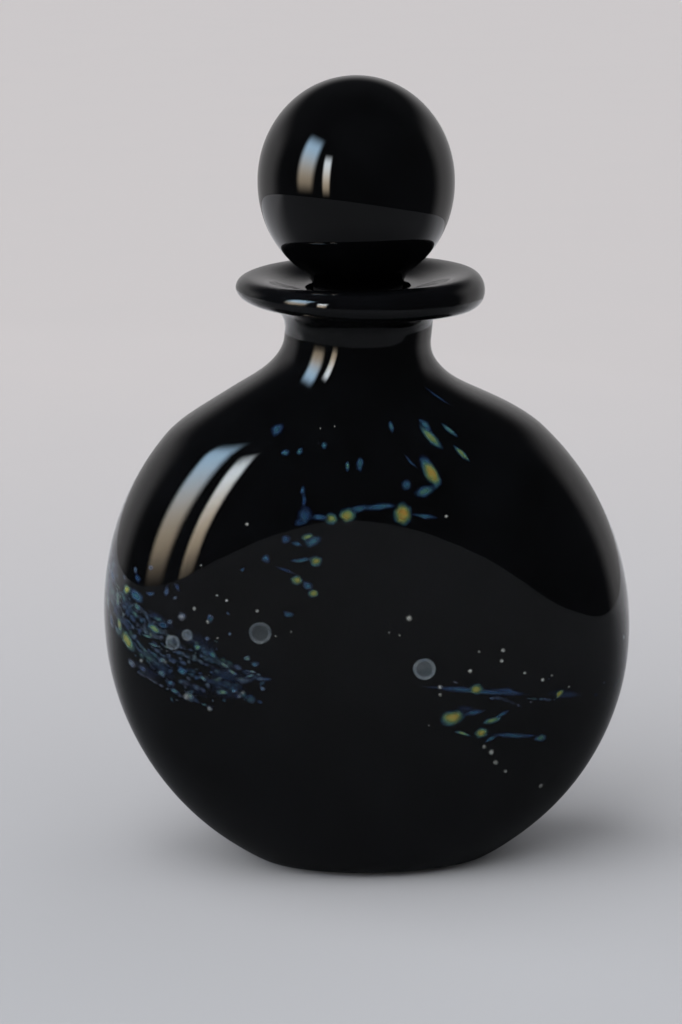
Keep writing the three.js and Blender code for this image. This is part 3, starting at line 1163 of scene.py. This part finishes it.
# %% One grain, as a small closed lens
def grain_mesh(name, sides, rings, point):
    """A flat lens of unit length. Each vertex knows how near the rim and how high it is.
    The two ends are round where point is 0, and the sharper the higher point is."""
    places = [(0, 0, 0)]
    rim = [0.0]
    lift = [1.0]
    for ring in rings:
        for i in range(sides):
            angle = math.tau * i / sides
            sine = math.sin(angle)
            places.append((0.5 * ring * math.cos(angle), 0.5 * ring * sine * abs(sine) ** point, 0))
            rim.append(ring)
            lift.append(1 - ring * ring)
    places.append((0, 0, 0))
    rim.append(0.0)
    lift.append(-1.0)
    faces = []
    last = len(places) - 1
    outer = 1 + (len(rings) - 1) * sides
    for i in range(sides):
        step = (i + 1) % sides
        faces.append((0, 1 + i, 1 + step))
        for ring in range(len(rings) - 1):
            here = 1 + ring * sides
            there = here + sides
            faces.append((here + i, there + i, there + step, here + step))
        faces.append((last, outer + step, outer + i))
    mesh = bpy.data.meshes.new(name)
    mesh.from_pydata(places, [], faces)
    keep_on_points(mesh, "rim", rim)
    keep_on_points(mesh, "lift", lift)
    return mesh


# %% The tree that seals grains into the casing
def sealing_tree():
    tree, wires = new_tree(
        "grains sealed in glass", Seats="Geometry", Grain="Object", Glass="Object",
        Wobble="Float", Wobble_Size="Float", Material="Material",
    )
    seats, pattern, glass_object, wobble, wobble_size, material = wires
    grain = add_node(tree, "GeometryNodeObjectInfo", pattern, output="Geometry")
    glass = add_node(tree, "GeometryNodeObjectInfo", glass_object, output="Geometry")
    turned = add_node(
        tree, "FunctionNodeAxesToRotation",
        named_attribute(tree, "out", "FLOAT_VECTOR"),
        named_attribute(tree, "along", "FLOAT_VECTOR"),
        settings={"primary_axis": "Z", "secondary_axis": "X"},
    )
    size = named_attribute(tree, "size", "FLOAT_VECTOR")
    set_out = add_node(
        tree, "GeometryNodeInstanceOnPoints",
        Points=seats, Instance=grain, Rotation=turned, Scale=size,
    )
    loose = add_node(tree, "GeometryNodeRealizeInstances", Geometry=set_out)
    place = add_node(tree, "GeometryNodeInputPosition")
    noise = add_node(
        tree, "ShaderNodeTexNoise", output="Color",
        Vector=scaled(place, 1 / wobble_size), Scale=1.0, Detail=2.0,
    )
    uneven = moved(tree, loose, Offset=scaled(less(tree, noise, (0.5, 0.5, 0.5)), wobble))

    def on_glass(value):
        return add_node(
            tree, "GeometryNodeSampleNearestSurface", settings={"data_type": "FLOAT_VECTOR"},
            Mesh=glass, Value=value, Sample_Position=place,
        )

    skin_place = on_glass(place)
    skin_normal = on_glass(add_node(tree, "GeometryNodeInputNormal"))
    lift = named_attribute(tree, "lift", "FLOAT")
    depth = named_attribute(tree, "depth", "FLOAT") - lift * split(size)[2] * 0.5
    laid = moved(tree, uneven, Position=less(tree, skin_place, scaled(skin_normal, depth)))
    return finish_tree(tree, laid, material)


sealing = sealing_tree()


# %% Seats as a mesh with attributes
def seats_mesh(name, grains):
    """A vertex for each grain, with all that the tree and the paint need to know of it."""
    mesh = bpy.data.meshes.new(name)
    places, outs, alongs = zip(*[seat(grain.angle, grain.z, grain.tilt) for grain in grains])
    mesh.from_pydata([place * MM for place in places], [], [])
    keep_on_points(mesh, "out", outs)
    keep_on_points(mesh, "along", alongs)
    sizes = [(grain.length, grain.width, grain.thickness) for grain in grains]
    keep_on_points(mesh, "size", np.array(sizes) * MM)
    keep_on_points(mesh, "depth", [grain.depth * MM for grain in grains])
    keep_on_points(mesh, "warmth", [grain.warmth for grain in grains])
    keep_on_points(mesh, "paleness", [grain.paleness for grain in grains])
    keep_on_points(mesh, "cover", [grain.cover for grain in grains])
    return mesh


# %% [markdown]
# The colour of a melted grain goes from warm to cold as it thins: orange or straw in the
# middle of a thick drop, then green, sea blue and ink blue, until it is lost in the black. So
# one ramp serves them all. What is looked up in it is the grain's warmth, which falls off
# towards the rim and is stirred by noise. Some grains are milky, and every grain thins out
# to nothing at its rim.

# %% Coloured grains
HEAT_STOPS = [
    (0.00, (0.0025, 0.0035, 0.0080)),
    (0.16, (0.0065, 0.0115, 0.0360)),
    (0.30, (0.0150, 0.0370, 0.0920)),
    (0.44, (0.0290, 0.0900, 0.1250)),
    (0.57, (0.0700, 0.1550, 0.0980)),
    (0.70, (0.1500, 0.1900, 0.0700)),
    (0.84, (0.2550, 0.2300, 0.0620)),
    (1.00, (0.3150, 0.1850, 0.0420)),
]
MILKY = (0.22, 0.22, 0.22, 1)


def grain_number(tree, name):
    settings = {"attribute_name": name}
    return add_node(tree, "ShaderNodeAttribute", settings=settings, output="Fac")


def thinning(rim, uneven, full, gone):
    """How well a grain covers: fully in the middle, and not at all at its rim."""
    return (1 - smooth_step(rim + uneven, full, gone)) * (1 - smooth_step(rim, 0.75, 1.0))


def grain_glass():
    material, tree = new_material("coloured grains in glass")
    place = object_place(tree)
    rim = grain_number(tree, "rim")
    warmth = grain_number(tree, "warmth")
    stirred = noise_at(tree, place, 0.9, 3.0, 0.6, 0.6) - 0.5
    heat = warmth * (1 - rim**2.0) * (1 + 0.7 * stirred) + warmth * stirred * 0.2
    milk = grain_number(tree, "paleness") * (0.7 + stirred) * (1 - rim)
    colour = mix_colours(tree, milk, ramp(tree, HEAT_STOPS, heat), MILKY)
    cover = grain_number(tree, "cover") * thinning(rim, 0.7 * stirred, 0.1, 1.0)
    return matt(material, colour, 0.7, Alpha=cover)


# %% Bubbles: a painted silvery reflection, with a painted highlight in a ring near the rim
BUBBLE_REFLECTION_STOPS = [(0.3, (0.22, 0.29, 0.37)), (0.7, (0.40, 0.44, 0.46))]


def bubble_painted_reflection():
    material, tree = new_material("bubble painted reflection")
    cloud = noise_at(tree, object_place(tree), 1.2, 2.0)
    rim = grain_number(tree, "rim")
    # The ring near the rim is a painted highlight; the silvery cloud is a painted reflection
    ring = smooth_step(rim, 0.55, 0.85) * (1 - smooth_step(rim, 0.88, 1.0))
    reflection_cover = (0.065 + 0.115 * cloud + 0.24 * ring) * (1 - rim**12.0)
    cover = grain_number(tree, "cover") * reflection_cover
    return matt(material, ramp(tree, BUBBLE_REFLECTION_STOPS, cloud), 0.4, Alpha=cover)


# %% Seeds: bubbles so small that they are a bright point in a pale haze
GLINT_STOPS = [(0.2, (0.36, 0.39, 0.40)), (0.8, (0.60, 0.60, 0.55))]


def seed_glint():
    material, tree = new_material("seed glint")
    cloud = noise_at(tree, object_place(tree), 0.3, 2.0)
    haze = 1 - smooth_step(grain_number(tree, "rim"), 0.0, 1.0)
    cover = grain_number(tree, "cover") * haze * (0.20 + 0.35 * haze)
    return matt(material, ramp(tree, GLINT_STOPS, cloud), 0.4, Alpha=cover)


# %% [markdown]
# Each list now becomes one piece. The back of the flask can't be seen in the photograph, so
# it gets a plainer share of the same drops and seeds.

# %% Make the grains of each kind
DROP_THICKNESS = 0.2
DROP_DEPTHS = (0.5, 1.3)
BUBBLE_THICKNESS = 0.9
AIR_DEPTH = 0.8
# A seed is this share as thick as it is wide
SEED_FLATNESS = 0.6
BACK_DROPS = 22
BACK_SEEDS = 16
BACK_MIDDLE_Z = 37
BACK_REACH_X = 27
BACK_REACH_Z = 24
# A grain this many times as long as wide is a thread
THREAD_FROM = 2.2
# The listed sizes are of what shows, and a grain is a little larger, as its rim fades out
HALO = 1.12
SEED_OF_THE_DEPTHS = 3
draw = np.random.default_rng(SEED_OF_THE_DEPTHS)


def front_grain(x, z, length, width, tilt, warmth, paleness=0.0):
    return Grain(
        angle_at(x, z, FRONT), z, length * HALO, width * HALO, DROP_THICKNESS, tilt,
        draw.uniform(*DROP_DEPTHS), warmth, paleness, 1.0,
    )


def bubble_grain(x, z, diameter, cover, thickness=BUBBLE_THICKNESS, side=FRONT):
    return Grain(
        angle_at(x, z, side), z, diameter, diameter, thickness, 0, AIR_DEPTH, 0, 0, cover
    )


def seed_grain(x, z, diameter, cover, side=FRONT):
    return bubble_grain(x, z, diameter, cover, diameter * SEED_FLATNESS, side)


def somewhere_behind():
    """A random place on the back, away from the rim and the foot."""
    turn = draw.uniform(0, math.tau)
    reach = math.sqrt(draw.uniform(0.02, 1))
    x = BACK_REACH_X * reach * math.cos(turn)
    return x, BACK_MIDDLE_Z + BACK_REACH_Z * reach * math.sin(turn)


def back_drop():
    x, z = somewhere_behind()
    length = draw.uniform(1.0, 3.6)
    width = draw.uniform(0.7, 1.3)
    return Grain(
        angle_at(x, z, BACK), z, length, width, DROP_THICKNESS, draw.uniform(-40, 40),
        draw.uniform(*DROP_DEPTHS), draw.uniform(0.34, 0.85), 0.0, 1.0,
    )


def back_seed():
    diameter = draw.uniform(0.5, 1.2)
    x, z = somewhere_behind()
    return seed_grain(x, z, diameter, draw.uniform(0.3, 0.8), BACK)


coloured = [front_grain(*row) for row in DROPS + PATCHES]
coloured += [back_drop() for _ in range(BACK_DROPS)]
drift_draw = np.random.default_rng(SEED_OF_THE_DRIFT)
drifted = [grain for strand in STRANDS for grain in strand.grains(drift_draw)]
seeded = [seed_grain(*row) for row in SEEDS]
seeded += [back_seed() for _ in range(BACK_SEEDS)]
bubbled = [bubble_grain(*row) for row in BUBBLES]
print("drops and threads:", len(coloured), "drifting grains:", len(drifted), "seeds:", len(seeded))


# %% Seal them into the casing
FINE_SIDES = 20
FINE_RINGS = (0.25, 0.5, 0.7, 0.85, 1.0)
SPECK_SIDES = 10
SPECK_RINGS = (0.3, 0.6, 0.8, 1.0)


def grain_pattern(name, sides, rings, point):
    """A hidden object that the tree sets on every seat."""
    pattern = placed(name, grain_mesh(name, sides, rings, point))
    pattern.hide_render = True
    return pattern


def sealed(name, grains, pattern, material, wobble, wobble_size):
    """One piece of the flask: a pattern on every seat, laid into the casing."""
    return grown(
        name, seats_mesh(name + " seats", grains), sealing,
        Grain=pattern, Glass=clear_flask, Wobble=wobble * MM, Wobble_Size=wobble_size * MM,
        Material=material,
    )


def is_thread(grain):
    return grain.length >= grain.width * THREAD_FROM


drop_grain = grain_pattern("drop grain", FINE_SIDES, FINE_RINGS, 0)
thread_grain = grain_pattern("thread grain", FINE_SIDES, FINE_RINGS, 0.7)
speck_grain = grain_pattern("speck grain", SPECK_SIDES, SPECK_RINGS, 0.35)
grain_finish = grain_glass()
round_ones = [grain for grain in coloured if not is_thread(grain)]
long_ones = [grain for grain in coloured if is_thread(grain)]
drops = sealed(
    "colour_drops", round_ones, drop_grain, grain_finish, wobble=0.9, wobble_size=1.3
)
threads = sealed(
    "colour_threads", long_ones, thread_grain, grain_finish, wobble=0.7, wobble_size=2.0
)
drifting = sealed(
    "colour_drift", drifted, speck_grain, grain_finish, wobble=0.7, wobble_size=1.4
)
seeds = sealed("air_seeds", seeded, speck_grain, seed_glint(), wobble=0.0, wobble_size=1.0)
bubbles = sealed("air_bubbles", bubbled, drop_grain, bubble_painted_reflection(), wobble=0.15, wobble_size=1.5)
for pattern in (drop_grain, thread_grain, speck_grain):
    bpy.data.objects.remove(pattern)

# %% [markdown]
# ## The studio
# Black glass shows the room more than itself. In the photograph two tall window panes stand
# to the left, a pale wall lies behind, and the room in front is dark. So the studio has two
# tall soft boxes that are seen only as reflections, a sky that is pale behind the flask
# only, and a pale floor under two broad suns, painted in shade near the viewer. A floor that
# runs to the horizon would fill the lower half of the glass with white, so reflections see a
# round card in its place, with painted shade on it: a painted shadow round the foot, grey in
# front and pale behind.

# %% Colours of the studio
# Paper near the viewer is painted darker, as shade, and bluer than far off
PAPER_NEAR_SHADED = (0.500, 0.510, 0.540, 1)
PAPER_FAR = (0.610, 0.585, 0.592, 1)
# The card's colours are painted shade: a shadow at the flask's foot, grey in front, pale behind
CARD_SHADOW_AT_FOOT = (0.100, 0.104, 0.112, 1)
CARD_SHADE_IN_FRONT = (0.165, 0.170, 0.182, 1)
CARD_BEHIND = (0.68, 0.68, 0.71, 1)
SKY_DARK = (0.030, 0.031, 0.034, 1)
SKY_PALE = (0.42, 0.411, 0.416, 1)
WINDOW_BLUE = (0.52, 0.76, 1.0, 1)
WINDOW_WHITE = (0.86, 0.94, 1.0, 1)
WINDOW_FOOT = (1.0, 0.82, 0.60, 1)

# %% Floor and card, in metres
FLOOR_SIZE = 8
FLOOR_DROP = 0.0002
CARD_DROP = 0.0001
CARD_RADIUS = 0.42
CARD_CENTRE_X = -0.19
CARD_SIDES = 96


def stage_sheet(name, outline, drop, material):
    """A flat sheet under the flask, which is no part of it."""
    mesh = bpy.data.meshes.new(name)
    mesh.from_pydata([(x, y, -drop) for x, y in outline], [], [tuple(range(len(outline)))])
    mesh.materials.append(material)
    sheet = placed(name, mesh)
    return sheet


def mottling(tree, place):
    return 0.9 + 0.2 * noise_at(tree, place, 60, 3.0)


def pale_paper():
    """Matt paper, painted in shade near the viewer and paling away, with the faintest mottling."""
    material, tree = new_material("pale paper")
    place = object_place(tree)
    # Painted shade: darker near the viewer, paling away from it
    away = smooth_step(split(place)[1], -0.1, 0.4) * mottling(tree, place)
    return matt(material, mix_colours(tree, away, PAPER_NEAR_SHADED, PAPER_FAR), 0.9, specular=0.1)


def card_of_painted_shade():
    """Painted shade for reflections: a shadow round the foot, grey further out in front, pale behind.
    """
    material, tree = new_material("grey card")
    place = object_place(tree)
    across, back, _ = split(place)
    reach = (across * across + back * back) ** 0.5
    # Painted shadow round the foot, fading out to painted grey shade in front
    outwards = smooth_step(reach, 0.03, 0.16) * mottling(tree, place)
    front = mix_colours(tree, outwards, CARD_SHADOW_AT_FOOT, CARD_SHADE_IN_FRONT)
    colour = mix_colours(tree, smooth_step(back, 0.0, 0.13), front, CARD_BEHIND)
    return matt(material, colour, 0.9)


def round_outline(centre_x, radius, sides):
    turns = [math.tau * i / sides for i in range(sides)]
    return [(centre_x + radius * math.cos(turn), radius * math.sin(turn)) for turn in turns]


corners = [(-1, -1), (1, -1), (1, 1), (-1, 1)]
floor_outline = [(x * FLOOR_SIZE, y * FLOOR_SIZE) for x, y in corners]
floor = stage_sheet("floor", floor_outline, FLOOR_DROP, pale_paper())
floor.visible_glossy = False
card_outline = round_outline(CARD_CENTRE_X, CARD_RADIUS, CARD_SIDES)
# The card is seen only in reflections, and its colours are painted shade
card = stage_sheet("reflected_card", card_outline, CARD_DROP, card_of_painted_shade())
card.visible_camera = False
card.visible_diffuse = False
card.visible_transmission = False
card.visible_shadow = False


# %% Lamps
FLASK_MIDDLE = Vector((0, 0, 0.05))
SOFT_BOX_AWAY = 0.95


def direction(azimuth, elevation):
    """From the flask outwards. Azimuth is counted from the viewer's side round to the left."""
    turn, rise = math.radians(azimuth), math.radians(elevation)
    level = math.cos(rise)
    return Vector((-math.sin(turn) * level, -math.cos(turn) * level, math.sin(rise)))


def add_lamp(name, lamp_data, azimuth, elevation, distance):
    lamp = placed(name, lamp_data)
    away = direction(azimuth, elevation)
    lamp.location = FLASK_MIDDLE + away * distance
    lamp.rotation_euler = away.to_track_quat("Z", "Y").to_euler()
    lamp.visible_camera = False
    return lamp


def edge_fade(share, width):
    return smooth_step(share, 0.0, width) * (1 - smooth_step(share, 1 - width, 1.0))


def soft_box(name, azimuth, elevation, size, power, top, foot):
    """A tall pane with faded edges, a cool top and a dim, warm foot, for reflections only."""
    lamp_data = bpy.data.lights.new(name, "AREA")
    lamp_data.shape = "RECTANGLE"
    lamp_data.size, lamp_data.size_y = size
    lamp_data.energy = power
    lamp_data.use_nodes = True
    tree = lamp_data.node_tree
    tree.nodes.clear()
    across, up, _ = split(add_node(tree, "ShaderNodeNewGeometry", output="Parametric"))
    dimming = 0.3 + 0.7 * smooth_step(up, 0.1, 0.75)
    light = add_node(
        tree, "ShaderNodeEmission",
        Color=mix_colours(tree, smooth_step(up, 0.2, 0.8), foot, top),
        Strength=edge_fade(across, 0.3) * edge_fade(up, 0.25) * dimming,
    )
    end = tree.nodes.new("ShaderNodeOutputLight")
    tree.links.new(light.socket, end.inputs["Surface"])
    lamp = add_lamp(name, lamp_data, azimuth, elevation, SOFT_BOX_AWAY)
    lamp.visible_diffuse = False


def daylight(name, azimuth, elevation, strength, softness):
    """Even, soft light over the whole floor, kept out of reflections."""
    lamp_data = bpy.data.lights.new(name, "SUN")
    lamp_data.energy = strength
    lamp_data.angle = math.radians(softness)
    lamp = add_lamp(name, lamp_data, azimuth, elevation, 1)
    lamp.visible_glossy = False


soft_box("wide_window", 62, 21, (0.46, 0.98), 16.0, WINDOW_BLUE, WINDOW_FOOT)
soft_box("narrow_window", 35.5, 13, (0.19, 0.74), 6.5, WINDOW_WHITE, WINDOW_FOOT)
daylight("daylight", 66, 55, 2.45, 70)
daylight("room_light", -80, 60, 1.15, 90)


# %% Sky: pale behind the flask, dark in front and above
def studio_sky():
    world = bpy.data.worlds.new("studio")
    world.use_nodes = True
    tree = world.node_tree
    tree.nodes.clear()
    toward = add_node(tree, "ShaderNodeTexCoord", output="Generated")
    _, back, up = split(toward)
    backwards = smooth_step(back, 0.14, 0.50) * (1 - smooth_step(up, 0.25, 0.62))
    colour = mix_colours(tree, backwards, SKY_DARK, SKY_PALE)
    light = add_node(tree, "ShaderNodeBackground", colour, 1.0)
    end = tree.nodes.new("ShaderNodeOutputWorld")
    tree.links.new(light.socket, end.inputs["Surface"])
    return world


bpy.context.scene.world = studio_sky()
bpy.context.scene.view_settings.view_transform = "Standard"

# %% [markdown]
# ## Tie the pieces to the frame
# Every piece rides on the part's one body. The two flask pieces stand for the imported flask
# together, and the stopper's for the imported stopper.

# %% Ride and replace the imported parts
for piece in (clear_flask, black_flask, drops, threads, drifting, seeds, bubbles):
    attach(piece, "root")
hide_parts("flask")
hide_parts("flask")
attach(stopper, "root")
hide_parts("stopper")
